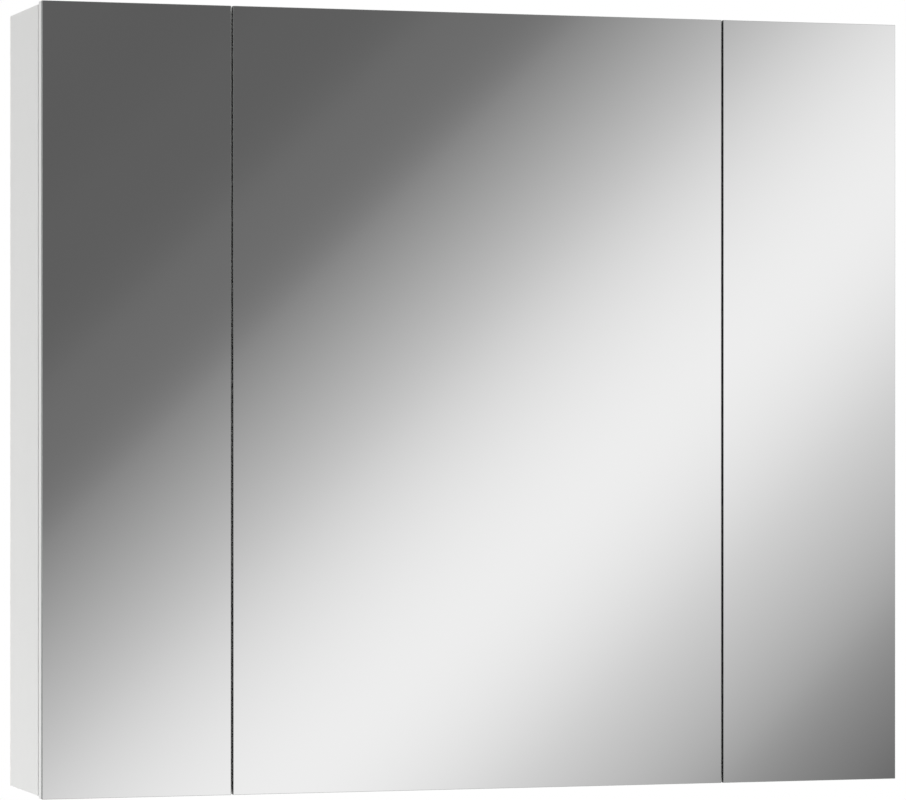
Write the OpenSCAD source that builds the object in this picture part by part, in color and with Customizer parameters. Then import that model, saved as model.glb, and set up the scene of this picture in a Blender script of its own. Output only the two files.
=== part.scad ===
// Wall cabinet with three mirror doors on concealed hinges.
// Millimetres. The origin lies on the wall plane, in the middle of the four
// screw holes of the wall plates. +Z is up and the doors face -Y.

/* [Cabinet] */
// Width of the cabinet body
cabinet_w = 800; // [720:1:1000]
// Height of the cabinet body
cabinet_h = 690; // [600:1:900]
// Depth of the cabinet body, without the doors
cabinet_d = 118; // [112:1:160]
// Thickness of the boards
board_t = 16; // [13:0.5:17]
// Distance from the cabinet's middle to the middle of each partition
partition_x = 230; // [180:1:240]
// Thickness of the band glued to the front edges
band_t = 0.8; // [0.4:0.1:2]

/* [Back panel] */
// Thickness of the back panel
back_t = 3; // [2.5:0.5:5]
// Space between the wall and the back panel
back_gap = 12; // [12:1:14]
// Depth of the groove that holds the back panel
groove_depth = 6; // [4:0.5:7]
// Play of the back panel in its groove, on each side
groove_play = 0.15; // [0.1:0.05:0.3]

/* [Doors] */
// Space between the body and the closed doors
door_stand_off = 3; // [2.6:0.1:3.4]
// Gap between neighbouring doors
door_gap = 2; // [2:0.1:4]
// How far the doors stand past the body at the top and the bottom
door_overhang = 2; // [0:0.5:10]
// Thickness of the board behind the mirror
door_board_t = 10; // [10:0.5:12]
// Thickness of the adhesive film
adhesive_t = 1; // [0.5:0.1:1.5]
// How far the film stays back from the mirror's edges
adhesive_inset = 1; // [0.5:0.5:10]
// Thickness of the mirror glass
mirror_t = 4; // [3:0.5:6]
// Diameter of the door bumpers
bumper_d = 5; // [4:0.5:6]
// How far the bumpers stay short of the closed door
bumper_play = 0.2; // [0.1:0.1:0.5]

/* [Shelves] */
// Thickness of the glass shelves
shelf_t = 5; // [4:0.5:8]
// How far the shelves stay back from the body's front edge
shelf_setback = 14; // [8:1:30]
// Play between a shelf's ends and the boards, on each side
shelf_play = 1; // [0.5:0.5:2]
// Steps of the hole row between the floor and each shelf
shelf_steps = [7, 14]; // [2:1:18]
// Pitch of the hole row
hole_pitch = 32; // [25:1:40]
// Diameter of the shelf pins
pin_d = 5; // [4:0.5:6]
// Board left between the holes on the two faces of a partition
pin_web = 1; // [0.5:0.5:3]
// Thickness of the soft pad under the glass
pad_t = 0.8; // [0.5:0.1:1.5]

/* [Hinges] */
// Distance from the door's top and bottom to its hinges
hinge_inset = 100; // [80:1:150]
// Diameter of the hinge cup
cup_d = 35; // [35:1:37]
// Distance from the door's edge to the cup
cup_edge = 3.7; // [3.7:0.1:4]
// Depth of the hinge cup in the door
cup_depth = 9.2; // [9.2:0.1:9.4]
// How far the arm stands off the side panel's outer face
arm_base = 24; // [24:0.5:26]
// Diameter of the pins at the arm
arm_pin_d = 2.8; // [2.4:0.1:3]
// Diameter of the pins at the cup
tip_pin_d = 1.8; // [1.6:0.1:1.8]
// Play of a turning pin in its bore
pin_play = 0.1; // [0.05:0.01:0.15]

/* [Wall fixing] */
// Distance between the screw holes of the two wall plates
plate_span = 690; // [600:1:692]
// Vertical distance between the two holes of a wall plate
plate_hole_pitch = 25; // [20:1:28]
// Diameter of the screw holes in the wall plates
plate_hole_d = 5.5; // [4:0.5:6.5]
// Drop of the screw pattern below the top of the body
plate_drop = 45; // [45:1:60]

/* [Joinery] */
// Diameter of the wooden dowels
dowel_d = 8; // [6:1:8]
// Length of the wooden dowels
dowel_l = 30; // [25:1:35]
// Depth of a dowel in the face of a board
dowel_in_face = 10; // [8:0.5:11]
// Diameter of the cam locks
cam_d = 15; // [12:1:15]
// Depth of the cam locks
cam_h = 12; // [10:0.5:12.5]
// Distance from a board's end to the middle of its cam lock
cam_inset = 24; // [24:1:34]
// Play of the fastenings in their holes
fit_play = 0.1; // [0.05:0.01:0.2]

/* [Hidden] */
$fn = 48;
eps = 0.01;

// Body
half_w = cabinet_w / 2;
inner_x = half_w - board_t;
top_z = plate_drop;
bottom_z = top_z - cabinet_h;
ceiling_z = top_z - board_t;
floor_z = bottom_z + board_t;
board_front = -cabinet_d + band_t;
back_rear = -back_gap;
back_front = -back_gap - back_t;
join_play = 0.05;
// Places of the fastenings along the depth: rear, middle and front
fasten_rear = -30;
fasten_front = -cabinet_d + 26;
fasten_mid = (fasten_rear + fasten_front) / 2;

// Doors: each has its two edges, the edge that carries its hinges, the side
// that the hinges face, and the face of the board that carries them, as a
// distance from the hinged edge
door_z0 = bottom_z - door_overhang;
door_z1 = top_z + door_overhang;
side_door_x = partition_x + door_gap / 2;
centre_door_x = partition_x - door_gap / 2;
half_cover = board_t / 2 - door_gap / 2;
adhesive_v = door_stand_off + door_board_t;
mirror_v = adhesive_v + adhesive_t;
LEFT = [-half_w, -side_door_x, -half_w, 1, board_t];
CENTRE = [-centre_door_x, centre_door_x, -centre_door_x, 1, half_cover];
RIGHT = [side_door_x, half_w, half_w, -1, board_t];
DOORS = [LEFT, CENTRE, RIGHT];
hinge_z = [door_z0 + hinge_inset, door_z1 - hinge_inset];

// Hinge, in its own plane: u runs from the door's hinged edge towards its
// free edge, v runs outwards from the front of the body.
swing = 95;
pivot = [7.5, 13.5];
outer_tip = [7.4, 6.4];
inner_tip = [9.37, 4.7];
outer_reach = 36;
inner_reach = 34;
function turn(p, a) = [p.x * cos(a) - p.y * sin(a), p.x * sin(a) + p.y * cos(a)];
function link_root(tip, reach) =
    let (d = turn(tip - pivot, swing / 2)) pivot + reach * d / norm(d);
outer_root = link_root(outer_tip, outer_reach);
inner_root = link_root(inner_tip, inner_reach);
// Half widths along the hinge axis, from the middle outwards
tongue_half = 0.9;
inner_link_z = [1.2, 2.4];
outer_link_z = [2.9, 4.1];
cheek_z = [4.4, 5.6];
cup_r = cup_d / 2;
cup_u = cup_edge + cup_r;
cup_wall = 0.8;
cup_bottom = door_stand_off + cup_depth;
cup_floor = cup_bottom - cup_wall;
flange_t = 1;
flange_v = door_stand_off - flange_t;
ear_u = cup_u + 6;
ear_z = 24;
ear_half = 5;
// Places of the screws of the mounting plates and the arms, behind the front
plate_screw_v = -37;
plate_screw_z = 16;
arm_screws_v = [-50, -28];
plate_base_t = 2.5;
plate_rear_v = -58;
block_front_v = -22;
block_half = 6.5;
arm_t = 1.2;

// Shelves: the pins' axes, the glass above them
tab_t = 1.6;
pin_hole_depth = (board_t - pin_web) / 2;
shelf_pin_y = [-32, -cabinet_d + 28];
bays = [[-inner_x, -partition_x - board_t / 2],
        [-partition_x + board_t / 2, partition_x - board_t / 2],
        [partition_x + board_t / 2, inner_x]];
function pin_z(step) = floor_z + step * hole_pitch;
function shelf_z(step) = pin_z(step) + pin_d / 2 + pad_t;

// Wall fixing, on the left side; the right side is its mirror image
wall_plate_t = 2;
wall_plate_w = 56;
wall_plate_h = 44;
lip_w = 18;
lip_out = 8;
lip_floor_z = 2;
lip_top_z = 18;
hook_w = 8;
hook_x = -inner_x + 7;
hook_h = 4;
hook_play = 0.2;
hanger_w = 16;
hanger_z0 = -18;
hanger_z1 = ceiling_z - 2;
hanger_front = -60;
hanger_wall = 2;
peg_z = 4;
adjuster_z = [-4, 9];
adjuster_r = 2.4;
cover_t = 1.2;
cover_front = -66;
cover_rear = -34;

// ---- Helpers ----

// A block between two corners
module block(a, b) translate(a) cube(b - a);

// A round bar from one point, along X, Y or Z, with its length signed
module bar_x(p, r, l) translate(p) rotate([0, l < 0 ? -90 : 90, 0]) cylinder(r = r, h = abs(l));
module bar_y(p, r, l) translate(p) rotate([l < 0 ? 90 : -90, 0, 0]) cylinder(r = r, h = abs(l));
module bar_z(p, r, l) translate(l < 0 ? p + [0, 0, l] : p) cylinder(r = r, h = abs(l));

// A piece and its mirror image on the right
module both_sides() {
    children();
    mirror([1, 0, 0]) children();
}

// The hinge plane of one door, at both of its hinges
module at_hinges(door) {
    for (z = hinge_z)
        translate([door[2], -cabinet_d, z])
            mirror([0, 1, 0])
                mirror([door[3] < 0 ? 1 : 0, 0, 0])
                    children();
}

// A plate across the hinge axis, on both sides of the middle
module pair_z(range) {
    for (side = [-1, 1])
        translate([0, 0, side > 0 ? range[0] : -range[1]])
            linear_extrude(range[1] - range[0])
                children();
}

// A round-ended slot in the hinge plane, through all that lies at |z| < half
module slot(p, q, r, half) {
    along = q - p;
    for (c = [p, q]) translate([c.x, c.y, -half]) cylinder(r = r, h = 2 * half);
    translate([p.x, p.y, -half])
        rotate([0, 0, atan2(along.y, along.x)])
            translate([0, -r, 0]) cube([norm(along), 2 * r, 2 * half]);
}

// ---- Holes that the fastenings need ----

// Places of the corner fastenings: the panel's middle height and its depth
corner_z = [top_z - board_t / 2, bottom_z + board_t / 2];

module corner_dowel_holes() {
    for (z = corner_z, s = [-1, 1])
        bar_x([s * (inner_x + dowel_in_face + 0.5), fasten_mid, z], dowel_d / 2 + join_play,
              -s * (dowel_l + 1));
}

module partition_dowel_holes() {
    for (s = [-1, 1]) {
        bar_z([s * partition_x, fasten_mid, ceiling_z + dowel_in_face + 0.5],
              dowel_d / 2 + join_play, -dowel_l - 1);
        bar_z([s * partition_x, fasten_mid, floor_z - dowel_in_face - 0.5],
              dowel_d / 2 + join_play, dowel_l + 1);
    }
}

bolt_thread_r = 2.5;
bolt_thread_l = 11;
bolt_shank_r = 3.4;
bolt_head_r = 3;
bolt_neck_r = 1.8;

module cam_holes() {
    for (s = [-1, 1], y = [fasten_rear, fasten_front]) {
        bar_z([s * (inner_x - cam_inset), y, top_z + eps], cam_d / 2, -cam_h - 0.5);
        bar_z([s * (inner_x - cam_inset), y, bottom_z - eps], cam_d / 2, cam_h + 0.5);
        for (z = corner_z)
            bar_x([s * (inner_x + eps), y, z], bolt_shank_r + fit_play, -s * cam_inset);
    }
}

module bolt_pilot_holes() {
    for (s = [-1, 1], y = [fasten_rear, fasten_front], z = corner_z)
        bar_x([s * (inner_x - eps), y, z], bolt_thread_r + join_play, s * (bolt_thread_l + 0.5));
}

screw_l = 50;
screw_r = 2.5;
screw_neck_r = 3.4;
screw_head_r = 4.6;
screw_head_h = 2.4;
screw_neck_l = 14;

// A flat-headed screw for boards, head up, with its top at the origin
module board_screw(play) {
    rotate_extrude()
        polygon([[0, 0], [screw_head_r + play, 0], [screw_neck_r + play, -screw_head_h],
                 [screw_neck_r + play, -screw_neck_l], [screw_r + play, -screw_neck_l - 1],
                 [screw_r + play, -screw_l + 3], [0, -screw_l]]);
}

module at_partition_screws() {
    for (s = [-1, 1], y = [fasten_rear, fasten_front]) {
        translate([s * partition_x, y, top_z]) children();
        translate([s * partition_x, y, bottom_z]) mirror([0, 0, 1]) children();
    }
}

// The hole rows in the faces that look into one bay
module pin_holes(bay) {
    for (step = shelf_steps, k = [-1, 0, 1], y = shelf_pin_y, end = [0, 1])
        bar_x([bays[bay][end], y, pin_z(step + k)], pin_d / 2 + join_play,
              (end == 0 ? -1 : 1) * pin_hole_depth);
}

// Pilot holes for the mounting plates of one door
module plate_pilot_holes(door) {
    at_hinges(door)
        for (z = [-plate_screw_z, plate_screw_z])
            bar_x([door[4] + eps, plate_screw_v, z], plate_thread_r + join_play,
                  -plate_screw_in - 0.5);
}

plate_thread_r = 2.4;
plate_screw_in = 11;

module back_groove() {
    block([-inner_x - groove_depth, back_front - groove_play, floor_z - groove_depth],
          [inner_x + groove_depth, back_rear + groove_play, ceiling_z + groove_depth]);
}

peg_r = 4;
peg_l = 10;
peg_y = [-26, -50];

module hanger_peg_holes() {
    both_sides()
        for (y = peg_y)
            bar_x([-inner_x + eps, y, peg_z], peg_r + fit_play, -peg_l - 0.5);
}

// ---- Body ----

module side_panel(s) {
    color("gainsboro")
        difference() {
            block([s < 0 ? -half_w : inner_x, board_front, bottom_z],
                  [s < 0 ? -inner_x : half_w, 0, top_z]);
            back_groove();
            corner_dowel_holes();
            bolt_pilot_holes();
            hanger_peg_holes();
            pin_holes(s < 0 ? 0 : 2);
            plate_pilot_holes(s < 0 ? LEFT : RIGHT);
        }
}

module left_side_panel() side_panel(-1);
module right_side_panel() side_panel(1);

module lying_panel(z0) {
    color("gainsboro")
        difference() {
            block([-inner_x, board_front, z0], [inner_x, 0, z0 + board_t]);
            back_groove();
            corner_dowel_holes();
            partition_dowel_holes();
            cam_holes();
            at_partition_screws() board_screw(join_play);
        }
}

module top_panel() lying_panel(ceiling_z);
module bottom_panel() lying_panel(bottom_z);

module partition(s) {
    color("gainsboro")
        difference() {
            block([s * partition_x - board_t / 2, board_front, floor_z],
                  [s * partition_x + board_t / 2, back_front - join_play, ceiling_z]);
            partition_dowel_holes();
            at_partition_screws() board_screw(join_play);
            pin_holes(s < 0 ? 0 : 2);
            pin_holes(1);
            if (s < 0) plate_pilot_holes(CENTRE);
        }
}

module left_partition() partition(-1);
module right_partition() partition(1);

// One strip for each board: the sides run full height, the rest butts to them
module edge_bands() {
    seam = 0.1;
    color("whitesmoke") {
        both_sides()
            block([-half_w, -cabinet_d, bottom_z], [-inner_x, board_front, top_z]);
        for (z = [bottom_z, ceiling_z])
            block([-inner_x + seam, -cabinet_d, z], [inner_x - seam, board_front, z + board_t]);
        both_sides()
            block([-partition_x - board_t / 2, -cabinet_d, floor_z + seam],
                  [-partition_x + board_t / 2, board_front, ceiling_z - seam]);
    }
}

module back_panel() {
    edge = groove_depth - 0.5;
    color("white")
        difference() {
            block([-inner_x - edge, back_front, floor_z - edge],
                  [inner_x + edge, back_rear, ceiling_z + edge]);
            both_sides()
                block([-inner_x, back_front - 1, lip_top_z - 10],
                      [hook_x + hook_w / 2 + 3, back_rear + 1, ceiling_z - 2]);
        }
}

// ---- Shelves ----

module shelves(bay) {
    color("lightcyan", 0.5)
        for (step = shelf_steps)
            block([bays[bay][0] + shelf_play, -cabinet_d + shelf_setback, shelf_z(step)],
                  [bays[bay][1] - shelf_play, back_front - 2, shelf_z(step) + shelf_t]);
}

module left_shelves() shelves(0);
module centre_shelves() shelves(1);
module right_shelves() shelves(2);

// Every shelf pin's place, turned so that +X points into the bay
module at_pins() {
    for (bay = bays, step = shelf_steps, y = shelf_pin_y, end = [0, 1])
        translate([bay[end], y, pin_z(step)])
            mirror([end, 0, 0])
                children();
}

tab_l = 9;
tab_half = 4.5;

module shelf_pins() {
    color("silver")
        at_pins() {
            bar_x([-pin_hole_depth + 0.5, 0, 0], pin_d / 2, pin_hole_depth + 1.5);
            block([0, -tab_half, pin_d / 2 - tab_t], [tab_l, tab_half, pin_d / 2]);
        }
}

module shelf_pads() {
    color("ghostwhite")
        at_pins()
            block([shelf_play, -tab_half + 0.5, pin_d / 2], [tab_l - 0.5, tab_half - 0.5, pin_d / 2 + pad_t]);
}

// ---- Joinery ----

module dowels() {
    color("burlywood") {
        for (z = corner_z, s = [-1, 1])
            bar_x([s * (inner_x + dowel_in_face), fasten_mid, z], dowel_d / 2, -s * dowel_l);
        for (s = [-1, 1]) {
            bar_z([s * partition_x, fasten_mid, ceiling_z + dowel_in_face], dowel_d / 2, -dowel_l);
            bar_z([s * partition_x, fasten_mid, floor_z - dowel_in_face], dowel_d / 2, dowel_l);
        }
    }
}

// A cam lock for the top panel's left rear corner, with its bolt from the left
module cam_lock() {
    depth = board_t / 2;
    difference() {
        translate([0, 0, -cam_h]) cylinder(r = cam_d / 2 - fit_play, h = cam_h);
        bar_x([-cam_d, 0, -depth], bolt_shank_r + fit_play, cam_d + bolt_head_r + 1);
        for (a = [45, 135])
            rotate([0, 0, a]) block([-3.5, -0.6, -2.2], [3.5, 0.6, eps]);
    }
}

module at_cams() {
    for (s = [-1, 1], y = [fasten_rear, fasten_front], up = [0, 1])
        translate([s * (inner_x - cam_inset), y, up == 1 ? top_z : bottom_z])
            mirror([s > 0 ? 1 : 0, 0, 0])
                mirror([0, 0, 1 - up])
                    children();
}

module cam_locks() {
    color("darkgray") at_cams() cam_lock();
}

// The bolt is screwed into the side panel, and its head sits in the cam
module cam_bolts() {
    shank_end = cam_inset - cam_d / 2 + 1;
    color("silver")
        at_cams()
            translate([-cam_inset, 0, -board_t / 2])
                rotate([0, 90, 0])
                    rotate_extrude()
                        polygon([[0, -bolt_thread_l], [bolt_thread_r, -bolt_thread_l],
                                 [bolt_thread_r, 0], [bolt_shank_r, 0],
                                 [bolt_shank_r, shank_end], [bolt_neck_r, shank_end + 1],
                                 [bolt_neck_r, cam_inset - 1], [bolt_head_r, cam_inset],
                                 [bolt_head_r, cam_inset + 2], [0, cam_inset + 3]]);
}

module partition_screws() {
    color("silver")
        at_partition_screws()
            difference() {
                board_screw(0);
                translate([0, 0, -2]) cylinder(r = 2, h = 3, $fn = 6);
            }
}

// ---- Wall fixing ----

module hanger_bodies() {
    color("white")
        both_sides()
            difference() {
                union() {
                    block([-inner_x, hanger_front, hanger_z0],
                          [-inner_x + hanger_w, back_front - join_play, hanger_z1]);
                    for (y = peg_y) bar_x([-inner_x + eps, y, peg_z], peg_r, -peg_l);
                }
                block([-inner_x + hanger_wall, hanger_front + hanger_wall, hanger_z0 + hanger_wall],
                      [-inner_x + hanger_w - hanger_wall, 0, hanger_z1 - hanger_wall]);
                for (z = adjuster_z)
                    bar_y([hook_x, hanger_front - 1, z], adjuster_r + fit_play, hanger_wall + 2);
            }
}

hook_plate_t = 4;
hook_front = hanger_front + hanger_wall + 6;
tooth_y = [-5.4, -2.8];

// A steel arm that reaches through the back panel and drops behind the lip
module hanger_hooks() {
    color("silver")
        both_sides()
            difference() {
                union() {
                    block([hook_x - hook_w / 2, hook_front, lip_top_z + hook_play],
                          [hook_x + hook_w / 2, tooth_y[1], lip_top_z + hook_play + hook_h]);
                    block([hook_x - hook_w / 2, tooth_y[0], lip_floor_z + wall_plate_t + 1],
                          [hook_x + hook_w / 2, tooth_y[1], lip_top_z + hook_play + eps]);
                    block([hook_x - hook_w / 2, hook_front, adjuster_z[0] - 5],
                          [hook_x + hook_w / 2, hook_front + hook_plate_t, lip_top_z + 1]);
                }
                for (z = adjuster_z)
                    bar_y([hook_x, hook_front - 1, z], adjuster_r + join_play, hook_plate_t + 2);
            }
}

module hanger_screws() {
    color("silver")
        both_sides()
            for (z = adjuster_z)
                difference() {
                    union() {
                        bar_y([hook_x, hanger_front, z], adjuster_r, 22);
                        bar_y([hook_x, hanger_front, z], 4, -2);
                    }
                    block([hook_x - 3, hanger_front - 3, z - 0.5], [hook_x + 3, hanger_front - 1, z + 0.5]);
                    block([hook_x - 0.5, hanger_front - 3, z - 3], [hook_x + 0.5, hanger_front - 1, z + 3]);
                }
}

module hanger_covers() {
    color("white")
        both_sides()
            difference() {
                block([-inner_x, cover_front, hanger_z0 - cover_t - fit_play],
                      [-inner_x + hanger_w + cover_t + fit_play, cover_rear, hanger_z1 + cover_t + fit_play]);
                block([-inner_x - 1, cover_front + cover_t, hanger_z0 - fit_play],
                      [-inner_x + hanger_w + fit_play, cover_rear + 1, hanger_z1 + fit_play]);
            }
}

module wall_plates() {
    outer = -inner_x + 2;
    color("lightsteelblue")
        both_sides()
            difference() {
                union() {
                    block([outer, -wall_plate_t, -wall_plate_h / 2],
                          [outer + wall_plate_w, 0, wall_plate_h / 2]);
                    block([outer, -lip_out, lip_floor_z],
                          [outer + lip_w, -wall_plate_t + eps, lip_floor_z + wall_plate_t]);
                    block([outer, -lip_out, lip_floor_z],
                          [outer + lip_w, -lip_out + wall_plate_t, lip_top_z]);
                }
                for (z = [-plate_hole_pitch / 2, plate_hole_pitch / 2])
                    bar_y([-plate_span / 2, -wall_plate_t - 1, z], plate_hole_d / 2, wall_plate_t + 2);
            }
}

// ---- Hinges, the parts fixed to the body ----

// Soft studs on the front edges, under each door's free corners
module door_bumpers() {
    quarter = board_t / 4 + door_gap / 4;
    stud = door_stand_off - bumper_play;
    color("ghostwhite")
        for (x = [-partition_x - quarter, partition_x - quarter, partition_x + quarter],
             z = [floor_z + 20, ceiling_z - 20])
            translate([x, -cabinet_d, z])
                rotate([90, 0, 0])
                    rotate_extrude()
                        polygon([[0, 0], [bumper_d / 2, 0], [bumper_d / 2, stud - 1],
                                 [bumper_d / 2 - 0.8, stud], [0, stud]]);
}

// Plates for the side panels are low, those for the half-covered partition
// are as much higher as the door covers less of it
module hinge_plates() {
    color("silver")
        for (door = DOORS)
            at_hinges(door)
                difference() {
                    union() {
                        block([door[4], plate_rear_v, -block_half],
                              [arm_base, block_front_v, block_half]);
                        block([door[4], plate_screw_v - 6, -plate_screw_z - 7],
                              [door[4] + plate_base_t, plate_screw_v + 6, plate_screw_z + 7]);
                    }
                    for (z = [-plate_screw_z, plate_screw_z])
                        bar_x([door[4] - 1, plate_screw_v, z], plate_thread_r + fit_play, plate_base_t + 2);
                    for (v = arm_screws_v)
                        bar_x([arm_base + 1, v, 0], arm_screw_r + join_play, -arm_screw_in - 1.5);
                }
}

arm_screw_r = 1.9;
arm_screw_in = 6;

// A folded channel: the web lies on the plate, the cheeks carry the pins
module hinge_arms() {
    nose_u = inner_root.x + 3;
    color("silver")
        for (door = DOORS)
            at_hinges(door)
                difference() {
                    union() {
                        block([arm_base, plate_rear_v, -cheek_z[1]],
                              [arm_base + arm_t, block_front_v + 2, cheek_z[1]]);
                        pair_z(cheek_z)
                            polygon([[arm_base, plate_rear_v], [arm_base + 6, plate_rear_v],
                                     [arm_base + 10, block_front_v],
                                     [outer_root.x + 4, outer_root.y - 4],
                                     [nose_u, inner_root.y - 2], [nose_u, -1.2],
                                     [inner_root.x - 3, -1.2],
                                     [outer_root.x - 4, outer_root.y + 1],
                                     [outer_root.x - 5, outer_root.y - 4],
                                     [arm_base, block_front_v + 2]]);
                    }
                    for (p = [outer_root, inner_root])
                        bar_z([p.x, p.y, -cheek_z[1] - 1], arm_pin_d / 2 + join_play, 2 * cheek_z[1] + 2);
                    for (v = arm_screws_v)
                        bar_x([arm_base - 1, v, 0], arm_screw_r + fit_play, arm_t + 2);
                }
}

module hinge_arm_pins() {
    half = cheek_z[1] + 0.5;
    color("dimgray")
        for (door = DOORS)
            at_hinges(door)
                for (p = [outer_root, inner_root])
                    bar_z([p.x, p.y, -half], arm_pin_d / 2, 2 * half);
}

module hinge_plate_screws() {
    color("silver")
        for (door = DOORS)
            at_hinges(door)
                for (z = [-plate_screw_z, plate_screw_z])
                    difference() {
                        union() {
                            bar_x([door[4] + plate_base_t, plate_screw_v, z], plate_thread_r,
                                  -plate_base_t - plate_screw_in);
                            bar_x([door[4] + plate_base_t, plate_screw_v, z], 4, 1.8);
                        }
                        cross_recess([door[4] + plate_base_t + 1.8, plate_screw_v, z]);
                    }
}

// A cross recess that opens towards +X, for screw heads on the plates and arms
module cross_recess(p) {
    block(p - [1, 2.5, 0.5], p + [1, 2.5, 0.5]);
    block(p - [1, 0.5, 2.5], p + [1, 0.5, 2.5]);
}

module hinge_arm_screws() {
    head_u = arm_base + arm_t;
    color("silver")
        for (door = DOORS)
            at_hinges(door)
                for (v = arm_screws_v)
                    difference() {
                        union() {
                            bar_x([head_u, v, 0], arm_screw_r, -arm_t - arm_screw_in);
                            bar_x([head_u, v, 0], 3.2, 1.8);
                        }
                        cross_recess([head_u + 1.8, v, 0]);
                    }
}

// ---- Hinges, the parts that turn ----

// The slots leave room for the tips, which ride a little off the cup's circle
outer_slot = [[7.43, 6.9], [7.43, 8.6]];
inner_slot = [[9.1, 5.45], [8.87, 7.5]];
outer_slot_r = 0.6 + tip_pin_d / 2 + pin_play + 0.05;
inner_slot_r = 0.87 + tip_pin_d / 2 + pin_play + 0.05;

module hinge_cups(door) {
    color("silver")
        at_hinges(door)
            difference() {
                union() {
                    difference() {
                        union() {
                            rotate([-90, 0, 0]) translate([cup_u, 0, flange_v])
                                cylinder(r = cup_r, h = cup_bottom - flange_v);
                            block([ear_u - ear_half, flange_v, -ear_z - ear_half],
                                  [ear_u + ear_half, door_stand_off, ear_z + ear_half]);
                        }
                        rotate([-90, 0, 0]) translate([cup_u, 0, flange_v - 1])
                            cylinder(r = cup_r - cup_wall, h = cup_floor - flange_v + 1);
                    }
                    intersection() {
                        union() {
                            pair_z(cheek_z) polygon([[4, flange_v + 1], [14, flange_v + 1], [14, 12], [4, 12]]);
                            block([5.6, flange_v + 1, -tongue_half], [13, cup_floor + eps, tongue_half]);
                        }
                        rotate([-90, 0, 0]) translate([cup_u, 0, flange_v])
                            cylinder(r = cup_r - cup_wall / 2, h = cup_floor + cup_wall / 2 - flange_v);
                    }
                }
                difference() {
                    slot(outer_slot[0], outer_slot[1], outer_slot_r, cheek_z[1] + 0.3);
                    block([0, 0, -2.6], [20, 20, 2.6]);
                }
                slot(inner_slot[0], inner_slot[1], inner_slot_r, 2.6);
                for (z = [-ear_z, ear_z])
                    bar_y([ear_u, flange_v - 1, z], cup_screw_r + fit_play, flange_t + 2);
            }
}

cup_screw_r = 1.9;
cup_screw_in = 8;

module cup_screws(door) {
    color("silver")
        at_hinges(door)
            for (z = [-ear_z, ear_z])
                difference() {
                    union() {
                        bar_y([ear_u, flange_v, z], cup_screw_r, flange_t + cup_screw_in);
                        bar_y([ear_u, flange_v, z], 3.4, -1.5);
                    }
                    block([ear_u - 2.2, flange_v - 2, z - 0.5], [ear_u + 2.2, flange_v - 0.7, z + 0.5]);
                    block([ear_u - 0.5, flange_v - 2, z - 2.2], [ear_u + 0.5, flange_v - 0.7, z + 2.2]);
                }
}

// A folded leaf on each side of the cheeks, lying on the floor of the cup
module closing_springs(door) {
    seat = cup_floor - 0.05;
    color("gray")
        at_hinges(door)
            pair_z([6, 8.2])
                polygon([[12, seat], [27, seat], [28.4, seat - 1.5], [27, seat - 3], [14, seat - 5.4],
                         [13.8, seat - 4.7], [26.4, seat - 2.2], [27.2, seat - 1.5],
                         [26.4, seat - 0.7], [12, seat - 0.7]]);
}

// The side of a link: its outline, with the round ends at its tip and its root
module link_side(outline, tip, root, root_r, z_range) {
    pair_z(z_range) polygon(outline);
    for (s = [-1, 1]) {
        translate([tip.x, tip.y, s > 0 ? z_range[0] : -z_range[1]])
            cylinder(r = 1.5, h = z_range[1] - z_range[0]);
        translate([root.x, root.y, s > 0 ? z_range[0] : -z_range[1]])
            cylinder(r = root_r, h = z_range[1] - z_range[0]);
    }
}

module outer_links(door) {
    color("silver")
        at_hinges(door)
            difference() {
                union() {
                    link_side([[8.2, 5.2], [10.2, 6.7], [12.2, 7.8], [14, 7.6], [15.2, 4.4], [17.6, 0.8],
                               [20.8, -2.4], [26.2, -7.4], outer_root - [2.2, 2], outer_root + [2.2, 2],
                               [30, -3.6], [24, 2.4], [18.5, 8.2], [14.5, 10.4], [10.5, 9.4], [6.7, 7.7]],
                              outer_tip, outer_root, 2.9, outer_link_z);
                    // the web that joins the two sides, below the inner link
                    translate([0, 0, -outer_link_z[1]])
                        linear_extrude(2 * outer_link_z[1])
                            polygon([[20.8, -2.4], [26.2, -7.4], [29.4, -10.9], [30.2, -10.2],
                                     [27, -6.7], [21.6, -1.7]]);
                    for (s = [-1, 1])
                        bar_z([outer_tip.x, outer_tip.y, s * outer_link_z[0]], tip_pin_d / 2,
                              s * (cheek_z[1] - outer_link_z[0]));
                }
                bar_z([outer_root.x, outer_root.y, -cheek_z[0]], arm_pin_d / 2 + pin_play,
                      2 * cheek_z[0]);
            }
}

module inner_links(door) {
    color("silver")
        at_hinges(door)
            difference() {
                union() {
                    link_side([[9.5, 3.21], [12.2, 3.3], [15, 3.5], [18, 2.7], [24, -0.3], [30, -3.4],
                               inner_root - [1.2, 2.3], inner_root + [0.8, 2.4],
                               [31, 0.6], [25, 3.2], [19, 6], [14, 6.8], [9.4, 6.19]],
                              inner_tip, inner_root, 2.6, inner_link_z);
                    translate([0, 0, -inner_link_z[1]])
                        linear_extrude(2 * inner_link_z[1])
                            polygon([[24, 2.6], [31, -0.4], [32.6, -0.9], [32.8, 0.1],
                                     [31, 0.6], [25, 3.2]]);
                    bar_z([inner_tip.x, inner_tip.y, -inner_link_z[1]], tip_pin_d / 2,
                          2 * inner_link_z[1]);
                }
                bar_z([inner_root.x, inner_root.y, -cheek_z[0]], arm_pin_d / 2 + pin_play,
                      2 * cheek_z[0]);
            }
}

// ---- Doors ----

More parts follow.
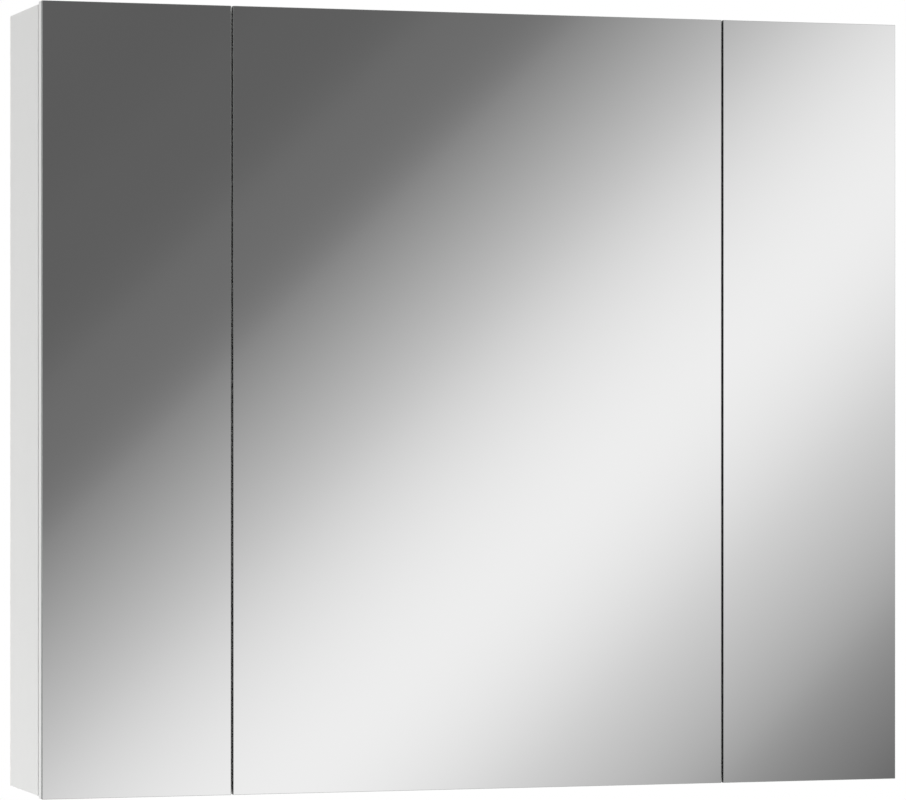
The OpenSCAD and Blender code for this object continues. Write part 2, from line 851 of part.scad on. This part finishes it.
module door_board(door) {
    color("whitesmoke")
        difference() {
            block([door[0], -cabinet_d - adhesive_v, door_z0],
                  [door[1], -cabinet_d - door_stand_off, door_z1]);
            at_hinges(door) {
                rotate([-90, 0, 0]) translate([cup_u, 0, door_stand_off - 1])
                    cylinder(r = cup_r + join_play, h = cup_depth + 1 + join_play);
                for (z = [-ear_z, ear_z])
                    bar_y([ear_u, door_stand_off - 1, z], cup_screw_r + join_play, cup_screw_in + 1.3);
            }
        }
}

module adhesive(door) {
    color("white")
        block([door[0] + adhesive_inset, -cabinet_d - mirror_v, door_z0 + adhesive_inset],
              [door[1] - adhesive_inset, -cabinet_d - adhesive_v, door_z1 - adhesive_inset]);
}

module mirror_glass(door) {
    color("lightslategray")
        block([door[0], -cabinet_d - mirror_v - mirror_t, door_z0],
              [door[1], -cabinet_d - mirror_v, door_z1]);
}

module left_door_board() door_board(LEFT);
module left_adhesive() adhesive(LEFT);
module left_mirror() mirror_glass(LEFT);
module left_hinge_cups() hinge_cups(LEFT);
module left_cup_screws() cup_screws(LEFT);
module left_closing_springs() closing_springs(LEFT);
module left_outer_links() outer_links(LEFT);
module left_inner_links() inner_links(LEFT);

module centre_door_board() door_board(CENTRE);
module centre_adhesive() adhesive(CENTRE);
module centre_mirror() mirror_glass(CENTRE);
module centre_hinge_cups() hinge_cups(CENTRE);
module centre_cup_screws() cup_screws(CENTRE);
module centre_closing_springs() closing_springs(CENTRE);
module centre_outer_links() outer_links(CENTRE);
module centre_inner_links() inner_links(CENTRE);

module right_door_board() door_board(RIGHT);
module right_adhesive() adhesive(RIGHT);
module right_mirror() mirror_glass(RIGHT);
module right_hinge_cups() hinge_cups(RIGHT);
module right_cup_screws() cup_screws(RIGHT);
module right_closing_springs() closing_springs(RIGHT);
module right_outer_links() outer_links(RIGHT);
module right_inner_links() inner_links(RIGHT);

left_side_panel();
right_side_panel();
top_panel();
bottom_panel();
left_partition();
right_partition();
edge_bands();
back_panel();
left_shelves();
centre_shelves();
right_shelves();
shelf_pins();
shelf_pads();
dowels();
cam_locks();
cam_bolts();
partition_screws();
hanger_bodies();
hanger_hooks();
hanger_screws();
hanger_covers();
wall_plates();
door_bumpers();
hinge_plates();
hinge_arms();
hinge_arm_pins();
hinge_plate_screws();
hinge_arm_screws();
left_door_board();
left_adhesive();
left_mirror();
left_hinge_cups();
left_cup_screws();
left_closing_springs();
left_outer_links();
left_inner_links();
centre_door_board();
centre_adhesive();
centre_mirror();
centre_hinge_cups();
centre_cup_screws();
centre_closing_springs();
centre_outer_links();
centre_inner_links();
right_door_board();
right_adhesive();
right_mirror();
right_hinge_cups();
right_cup_screws();
right_closing_springs();
right_outer_links();
right_inner_links();
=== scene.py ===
"""A three-door mirror cabinet with white boards, glass shelves and concealed hinges."""
import math

import bpy
from mathutils import Matrix, Vector


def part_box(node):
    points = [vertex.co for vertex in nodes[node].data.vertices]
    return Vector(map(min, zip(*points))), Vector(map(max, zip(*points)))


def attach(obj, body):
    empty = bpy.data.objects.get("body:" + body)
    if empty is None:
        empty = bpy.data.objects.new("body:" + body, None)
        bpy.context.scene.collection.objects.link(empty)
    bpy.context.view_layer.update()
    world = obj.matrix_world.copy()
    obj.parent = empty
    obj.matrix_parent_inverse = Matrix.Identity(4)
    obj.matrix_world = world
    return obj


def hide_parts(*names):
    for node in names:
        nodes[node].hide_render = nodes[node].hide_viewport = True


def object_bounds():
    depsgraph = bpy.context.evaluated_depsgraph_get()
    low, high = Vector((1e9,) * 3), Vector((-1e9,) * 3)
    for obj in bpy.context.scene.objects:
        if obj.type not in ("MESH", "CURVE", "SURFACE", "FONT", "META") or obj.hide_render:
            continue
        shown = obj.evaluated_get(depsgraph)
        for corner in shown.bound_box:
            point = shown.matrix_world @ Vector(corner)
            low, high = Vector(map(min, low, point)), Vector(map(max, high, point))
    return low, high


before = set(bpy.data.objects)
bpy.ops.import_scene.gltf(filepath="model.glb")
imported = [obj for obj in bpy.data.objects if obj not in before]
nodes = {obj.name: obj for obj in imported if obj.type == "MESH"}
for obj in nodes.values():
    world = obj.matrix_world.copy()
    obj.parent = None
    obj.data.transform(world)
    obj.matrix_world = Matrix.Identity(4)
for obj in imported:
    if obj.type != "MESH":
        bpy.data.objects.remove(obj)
cad_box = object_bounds()
scene = bpy.context.scene
scene.view_settings.view_transform = "Standard"
low, high = cad_box
middle = (low + high) / 2
sides = ("left", "centre", "right")


# ---- Camera ----
# A level camera to the left of the cabinet, a little below its middle, with a
# long lens. The rise of the frame is a lens shift, so uprights stay upright.
turn_left = math.radians(17.3)
camera_back = 3.904
camera_aside = 0.3565
eye_height = 0.3183
lens_length = 178.7
frame_rise = 0.0364
viewing = Vector((math.sin(turn_left), math.cos(turn_left), 0))
sideways = Vector((math.cos(turn_left), -math.sin(turn_left), 0))
near_edge = Vector((low.x, low.y, low.z + eye_height))
bpy.ops.object.camera_add(location=near_edge - camera_back * viewing + camera_aside * sideways)
camera = bpy.context.object
camera.rotation_euler = (math.pi / 2, 0, -turn_left)
camera.data.sensor_width = 36
camera.data.lens = lens_length
camera.data.shift_y = frame_rise
scene.camera = camera


# ---- Shader arithmetic ----
# Every finish below is written as sums of these values. A Sock is one output of
# a node, and a Finish is one material with its shader and its pattern nodes.
class Sock:
    def __init__(self, finish, socket):
        self.finish = finish
        self.socket = socket

    def math(self, operation, first, second):
        return self.finish.node("ShaderNodeMath", {"operation": operation}, {0: first, 1: second})

    def __add__(self, other):
        return self.math("ADD", self, other)

    def __sub__(self, other):
        return self.math("SUBTRACT", self, other)

    def __mul__(self, other):
        return self.math("MULTIPLY", self, other)

    def __gt__(self, level):
        return self.math("GREATER_THAN", self, level)

    def larger(self, other):
        return self.math("MAXIMUM", self, other)

    __radd__ = __add__
    __rmul__ = __mul__


class Finish:
    def __init__(self, name, colour, roughness, metallic=0.0, **sockets):
        self.material = bpy.data.materials.new(name)
        self.material.use_nodes = True
        self.tree = self.material.node_tree
        self.shader = self.tree.nodes["Principled BSDF"]
        self.shader.inputs["Base Color"].default_value = (*colour, 1)
        self.shader.inputs["Roughness"].default_value = roughness
        self.shader.inputs["Metallic"].default_value = metallic
        for label, value in sockets.items():
            self.shader.inputs[label.replace("_", " ")].default_value = value

    def node(self, kind, settings, sockets, output=0):
        made = self.tree.nodes.new(kind)
        for label, value in settings.items():
            if label == "stops":
                self.fill_ramp(made.color_ramp, value)
            else:
                setattr(made, label, value)
        for key, value in sockets.items():
            if isinstance(value, Sock):
                self.tree.links.new(value.socket, made.inputs[key])
            else:
                made.inputs[key].default_value = value
        return Sock(self, made.outputs[output])

    def fill_ramp(self, ramp, stops):
        while len(ramp.elements) < len(stops):
            ramp.elements.new(1.0)
        for element, (position, colour) in zip(ramp.elements, stops):
            element.position = position
            element.color = (*colour, 1)

    def set(self, label, value):
        self.tree.links.new(value.socket, self.shader.inputs[label])

    def place(self, scale=(1, 1, 1)):
        own = self.node("ShaderNodeTexCoord", {}, {}, "Object")
        return self.node("ShaderNodeMapping", {}, {"Vector": own, "Scale": scale})

    def along(self, axis):
        own = self.node("ShaderNodeTexCoord", {}, {}, "Object")
        return self.node("ShaderNodeSeparateXYZ", {}, {0: own}, axis)

    def noise(self, size, detail=2.0, stretch=(1, 1, 1)):
        sockets = {"Vector": self.place(stretch), "Scale": 1 / size, "Detail": detail}
        return self.node("ShaderNodeTexNoise", {}, sockets, 0)

    def blend(self, share, first, second):
        colours = [c if isinstance(c, Sock) else (*c, 1) for c in (first, second)]
        sockets = {0: share, 6: colours[0], 7: colours[1]}
        return self.node("ShaderNodeMix", {"data_type": "RGBA"}, sockets, 2)

    def bump(self, height, depth, strength=1.0):
        sockets = {"Height": height, "Distance": depth, "Strength": strength}
        self.set("Normal", self.node("ShaderNodeBump", {}, sockets, 0))


def linear(tone):
    """A display tone from 0 to 255 as the light that shows it."""
    share = tone / 255
    return share / 12.92 if share <= 0.04045 else ((share + 0.055) / 1.055) ** 2.4


# ---- Studio ----
# White surroundings, a pale floor well below the hung cabinet, and shaded
# screens before and beside it that only reflections see: bright slanting bands
# with grey between them, as a studio puts in front of a mirror.
floor_drop = 1.15
world = bpy.data.worlds.new("surroundings")
world.use_nodes = True
scene.world = world
surround = world.node_tree.nodes["Background"]
surround.inputs["Color"].default_value = (1, 1, 1, 1)


class Surround(Finish):
    """The nodes of the world or of the floor, which know what kind of ray meets them."""

    def __init__(self, tree):
        self.tree = tree

    def seen(self):
        """1 where the eye, a reflection or a look through glass meets this surface."""
        rays = [self.node("ShaderNodeLightPath", {}, {}, f"Is {ray} Ray")
                for ray in ("Camera", "Glossy", "Transmission")]
        return rays[0].larger(rays[1]).larger(rays[2])


ambient = 0.59
sky = Surround(world.node_tree)
sky_level = sky.seen() * (1 - ambient) + ambient
sky.tree.links.new(sky_level.socket, surround.inputs["Strength"])

bpy.ops.mesh.primitive_plane_add(size=40, location=(0, 0, low.z - floor_drop))
floor = bpy.context.object
floor.name = "studio_floor"
pale = Finish("studio_floor", (0.86, 0.86, 0.85), 0.7)
white = pale.node("ShaderNodeEmission", {}, {"Color": (1, 1, 1, 1), "Strength": 1.0})
seen = Surround(pale.tree).seen()
matt = Sock(pale, pale.shader.outputs[0])
floor_mix = pale.node("ShaderNodeMixShader", {}, {0: seen, 1: matt, 2: white})
pale.tree.links.new(floor_mix.socket, pale.tree.nodes["Material Output"].inputs["Surface"])
floor.data.materials.append(pale.material)
floor.visible_glossy = False

screen_distance = 1.0
side_distance = 3.0
screen_size = 2 * side_distance
screen_centre = low.z + 0.3
mirror_share = 0.90
band_start = -0.45
band_repeat = 2.35
band_tones = [(0.0, 93), (0.12, 91), (0.35, 92), (0.55, 102), (0.74, 133), (1.01, 203), (1.29, 237),
              (1.55, 213), (1.81, 162), (2.03, 108), (2.35, 93)]
screen_y = low.y - screen_distance
shade = Finish("studio_screen", (0, 0, 0), 1.0)
slant = (shade.along("X") + 0.8 * (shade.along("Y") - screen_y) - 1.05 * shade.along("Z")
         - band_start)
stops = [(s / band_repeat, (linear(t) / mirror_share,) * 3) for s, t in band_tones]
through_band = slant.math("FLOORED_MODULO", slant, band_repeat) * (1 / band_repeat)
tone = shade.node("ShaderNodeValToRGB", {"stops": stops}, {0: through_band}, 0)
tone.socket.node.color_ramp.interpolation = "CARDINAL"
glow = shade.node("ShaderNodeEmission", {}, {"Color": tone, "Strength": 1.0})
shade.tree.links.new(glow.socket, shade.tree.nodes["Material Output"].inputs["Surface"])


def reflected_screen(name, place, turn):
    bpy.ops.object.select_all(action="DESELECT")
    bpy.ops.mesh.primitive_plane_add(size=1)
    screen = bpy.context.object
    screen.name = name
    upright = Matrix.Rotation(turn, 4, "Z") @ Matrix.Rotation(math.pi / 2, 4, "X")
    screen.data.transform(Matrix.Translation(place) @ upright @ Matrix.Scale(screen_size, 4))
    screen.visible_camera = False
    screen.visible_diffuse = False
    screen.visible_shadow = False
    screen.visible_transmission = False
    screen.data.materials.append(shade.material)


reflected_screen("front_screen", (0, screen_y, screen_centre), 0)
for side in (-1, 1):
    beside = (side * side_distance, screen_y + screen_size / 2, screen_centre)
    reflected_screen(f"side_screen_{side + 1}", beside, math.pi / 2)


def soft_lamp(name, place, aim, size, power):
    bpy.ops.object.light_add(type="AREA", location=place)
    lamp = bpy.context.object
    lamp.name = name
    lamp.data.size = size
    lamp.data.energy = power
    lamp.rotation_euler = (Vector(aim) - Vector(place)).to_track_quat("-Z", "Y").to_euler()


soft_lamp("low_fill", (-1.6, 0.1, -1.5), (low.x, middle.y, middle.z), 0.8, 9.6)
soft_lamp("low_fill_right", (1.9, 0.1, -1.2), (high.x, middle.y, middle.z), 0.8, 8)
soft_lamp("top_soft", (0.8, -2.0, 2.4), middle, 2.0, 14)
soft_lamp("front_soft", (-0.6, -3.6, 0.4), middle, 2.4, 22)


# ---- White boards: sides, top, bottom and partitions ----
# Chipboard faced with white melamine, a hard satin skin with the faintest
# orange peel. The rear edges that lie on the wall are left bare.
chip_tones = [(0.30, (0.27, 0.17, 0.09)), (0.52, (0.50, 0.36, 0.21)), (0.70, (0.66, 0.52, 0.34))]


def melamine(name, colour, roughness=0.34, bare_from=None):
    skin = Finish(name, colour, roughness, Specular_IOR_Level=0.4)
    cloud = skin.noise(0.09, 3.0)
    mottle = skin.noise(0.0016, 4.0)
    shaded = tuple(0.965 * c for c in colour)
    top = skin.blend(cloud * 0.6 + mottle * 0.25, colour, shaded)
    polish = roughness - 0.05 + 0.10 * skin.noise(0.012, 2.0)
    peel = skin.noise(0.0011, 2.0)
    height = peel
    if bare_from is not None:
        bare = skin.along("Y") > bare_from
        chips = skin.noise(0.0035, 5.0, (1, 1, 0.55))
        wood = skin.node("ShaderNodeValToRGB", {"stops": chip_tones}, {0: chips}, 0)
        top = skin.blend(bare, top, wood)
        polish = polish + bare * 0.45
        height = peel + bare * chips * 6.0
    skin.set("Base Color", top)
    skin.set("Roughness", polish)
    skin.bump(height, 0.00006, 0.5)
    return skin.material


def wear(material, *names):
    """Gives a finish to pieces that come from the frame."""
    for name in names:
        for place in nodes[name].material_slots:
            place.material = material


board_white = melamine("white_melamine", (0.80, 0.80, 0.79), bare_from=high.y - 0.0004)
wear(board_white, "left_side_panel", "right_side_panel", "top_panel", "bottom_panel",
     "left_partition", "right_partition")


# ---- Edge bands ----
# A thin plastic strip ironed on to every front edge, slightly glossier than
# the boards and with a hair of colour difference.
band = Finish("edge_band", (0.82, 0.82, 0.815), 0.28)
band.set("Base Color", band.blend(band.noise(0.02, 2.0), (0.82, 0.82, 0.815), (0.79, 0.79, 0.785)))
band.set("Roughness", 0.24 + 0.10 * band.noise(0.004, 2.0))
band.bump(band.noise(0.0009, 2.0, (1, 1, 0.05)), 0.00003, 0.5)
wear(band.material, "edge_bands")


# ---- Back panel ----
# Thin hardboard slid into grooves, lacquered white on its front and left
# brown and fibrous behind.
back = Finish("lacquered_hardboard", (0.82, 0.82, 0.81), 0.40)
rear_face = back.along("Y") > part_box("back_panel")[1].y - 0.0004
fibres = back.noise(0.004, 6.0, (1, 1, 0.4))
fibre_tones = [(0.3, (0.20, 0.115, 0.06)), (0.7, (0.34, 0.21, 0.12))]
brown = back.node("ShaderNodeValToRGB", {"stops": fibre_tones}, {0: fibres}, 0)
lacquer = back.blend(back.noise(0.05, 2.0), (0.83, 0.83, 0.82), (0.79, 0.79, 0.78))
back.set("Base Color", back.blend(rear_face, lacquer, brown))
back.set("Roughness", 0.36 + rear_face * 0.35 + 0.08 * back.noise(0.01, 2.0))
back.bump(back.noise(0.0012, 3.0) + rear_face * fibres * 3.0, 0.00005, 0.5)
wear(back.material, "back_panel")


# ---- Door boards and their adhesive ----
# Each door is a thin white board with all edges banded, and a full sheet of
# foam film that holds the mirror on its front.
door_skin = melamine("door_melamine", (0.80, 0.80, 0.79), 0.30)
film = Finish("adhesive_film", (0.60, 0.60, 0.58), 0.75)
film.set("Base Color", film.blend(film.noise(0.002, 4.0), (0.62, 0.62, 0.60), (0.50, 0.50, 0.48)))
film.bump(film.noise(0.0012, 3.0), 0.0001, 0.6)
for side in sides:
    wear(door_skin, f"{side}_door_board")
    wear(film.material, f"{side}_adhesive")


# ---- Mirrors ----
# Silvered float glass, cut to the door, with its sharp corners taken off by a
# small ground arris. The ground edges are grey and dull. Where they face a
# neighbour across a narrow gap, painted shade from an occlusion test darkens
# their colour almost to black.
mirror_arris = 0.0003
silver = Finish("silvered_glass", (mirror_share, mirror_share, mirror_share), 0.012, 1.0)
dust = silver.noise(0.16, 3.0)
silver.set("Roughness", 0.006 + 0.012 * dust)
ground = Finish("ground_glass_edge", (0.33, 0.34, 0.335), 0.55, Specular_IOR_Level=0.1)
# Painted shade: the less open an edge is to its surroundings, the nearer its colour goes to black, as in the
# gaps between doors.
openness_for_painted_shade = ground.node("ShaderNodeAmbientOcclusion", {"samples": 8}, {"Distance": 0.01}, 1)
frosted = ground.blend(ground.noise(0.003, 4.0), (0.29, 0.30, 0.295), (0.37, 0.38, 0.375))
ground.set("Base Color", ground.blend(openness_for_painted_shade * openness_for_painted_shade, (0.015, 0.016, 0.016), frosted))
ground.bump(ground.noise(0.0004, 3.0), 0.00004, 0.7)
paint = Finish("mirror_back_paint", (0.20, 0.22, 0.22), 0.6)
paint.set("Base Color", paint.blend(paint.noise(0.02, 3.0), (0.18, 0.20, 0.20), (0.24, 0.26, 0.26)))


def ground_sheet(start, end, arris):
    """A sheet from corner to corner with its sharp edges taken off."""
    bpy.ops.object.select_all(action="DESELECT")
    bpy.ops.mesh.primitive_cube_add(size=1, location=(start + end) / 2)
    sheet = bpy.context.object
    sheet.scale = end - start
    bpy.ops.object.transform_apply(location=True, rotation=True, scale=True)
    softened = sheet.modifiers.new("arris", "BEVEL")
    softened.width = arris
    softened.segments = 2
    bpy.ops.object.modifier_apply(modifier="arris")
    return sheet


def put_in_place(sheet, name, node, rides_on):
    """Names a sheet and puts it in the place of the plain one."""
    sheet.name = name
    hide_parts(node)
    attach(sheet, rides_on)


for side in sides:
    mirror = ground_sheet(*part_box(f"{side}_mirror"), mirror_arris)
    put_in_place(mirror, f"{side}_silvered_mirror", f"{side}_mirror", f"{side}_door")
    for finish in (ground, silver, paint):
        mirror.data.materials.append(finish.material)
    for face in mirror.data.polygons:
        if face.normal.y < -0.99:
            face.material_index = 1
        elif face.normal.y > 0.99:
            face.material_index = 2


# ---- Glass shelves ----
# Clear float glass with polished edges, which look green because the eye
# follows the sheet lengthwise through them.
shelf_arris = 0.0007
clear = Finish("clear_float_glass", (0.93, 0.97, 0.955), 0.02, Transmission_Weight=1.0, IOR=1.5)
clear.set("Roughness", 0.01 + 0.02 * clear.noise(0.08, 2.0))
polished = Finish("polished_glass_edge", (0.16, 0.42, 0.34), 0.12, Transmission_Weight=0.35, IOR=1.5)
polished.set("Base Color", polished.blend(polished.noise(0.02, 2.0), (0.14, 0.40, 0.32), (0.24, 0.52, 0.44)))


def shelf_pair(side):
    """Both shelves of a bay, which share one node, as two sheets in one piece."""
    levels = sorted({round(v.co.z, 5) for v in nodes[f"{side}_shelves"].data.vertices})
    start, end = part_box(f"{side}_shelves")
    sheets = []
    for bottom, top in zip(levels[::2], levels[1::2]):
        corners = Vector((start.x, start.y, bottom)), Vector((end.x, end.y, top))
        sheets.append(ground_sheet(*corners, shelf_arris))
    for sheet in sheets:
        sheet.select_set(True)
    bpy.context.view_layer.objects.active = sheets[0]
    bpy.ops.object.join()
    pair = bpy.context.object
    pair.data.materials.append(clear.material)
    pair.data.materials.append(polished.material)
    for face in pair.data.polygons:
        face.material_index = 0 if abs(face.normal.z) > 0.99 else 1
    put_in_place(pair, f"{side}_glass_shelves", f"{side}_shelves", "root")


for side in sides:
    shelf_pair(side)


# ---- Small soft and moulded parts ----
# Translucent pads under the glass and studs behind the doors, and the white
# moulded hanger bodies with their clip-on covers.
soft = Finish("soft_clear_plastic", (0.78, 0.80, 0.79), 0.45, Subsurface_Weight=0.2)
soft.set("Roughness", 0.40 + 0.12 * soft.noise(0.002, 2.0))
soft.bump(soft.noise(0.0008, 2.0), 0.00003, 0.5)
wear(soft.material, "shelf_pads", "door_bumpers")

moulded = Finish("moulded_white_plastic", (0.80, 0.80, 0.78), 0.42)
moulded.set("Base Color", moulded.blend(moulded.noise(0.03, 2.0), (0.80, 0.80, 0.78), (0.76, 0.76, 0.74)))
moulded.set("Roughness", 0.38 + 0.12 * moulded.noise(0.003, 3.0))
moulded.bump(moulded.noise(0.0006, 3.0), 0.00005, 0.6)
wear(moulded.material, "hanger_bodies", "hanger_covers")


# ---- Metal parts ----
# Pressed and nickel-plated hinges, bluish zinc on the wall plates, hooks and
# screws, cast cam locks, and oiled pins and springs. Fine drawing lines run
# through the plated sheet.
def metal(name, colour, roughness, grain=0.0025, stretch=(1, 1, 0.08), pits=0.0):
    plate = Finish(name, colour, roughness, 1.0)
    lines = plate.noise(grain, 3.0, stretch)
    tarnish = plate.noise(0.012, 4.0)
    dull = tuple(0.80 * c for c in colour)
    plate.set("Base Color", plate.blend(tarnish * 0.7, colour, dull))
    plate.set("Roughness", roughness - 0.06 + 0.14 * tarnish + 0.06 * lines)
    plate.bump(lines + pits * plate.noise(0.0007, 3.0), 0.00003, 0.5)
    return plate.material


nickel = metal("nickel_plate", (0.72, 0.70, 0.66), 0.26)
zinc = metal("zinc_plate", (0.64, 0.67, 0.70), 0.34)
cast_zinc = metal("cast_zinc", (0.50, 0.51, 0.53), 0.50, 0.002, (1, 1, 1), 2.0)
oiled_steel = metal("oiled_steel", (0.30, 0.30, 0.31), 0.32)
wear(nickel, "hinge_plates", "hinge_arms", "hinge_plate_screws", "hinge_arm_screws", "shelf_pins")
wear(zinc, "wall_plates", "hanger_hooks", "hanger_screws", "cam_bolts", "partition_screws")
wear(cast_zinc, "cam_locks")
wear(oiled_steel, "hinge_arm_pins")
for side in sides:
    wear(nickel, f"{side}_hinge_cups", f"{side}_cup_screws", f"{side}_outer_links", f"{side}_inner_links")
    wear(oiled_steel, f"{side}_closing_springs")


# ---- Dowels ----
# Beech pins with the grain along them, glued half into each board.
beech = Finish("beech", (0.66, 0.50, 0.32), 0.60)
grain = beech.noise(0.0016, 4.0, (0.15, 1, 0.15))
beech.set("Base Color", beech.blend(grain, (0.70, 0.54, 0.36), (0.52, 0.37, 0.22)))
beech.bump(grain, 0.00008, 0.6)
wear(beech.material, "dowels")
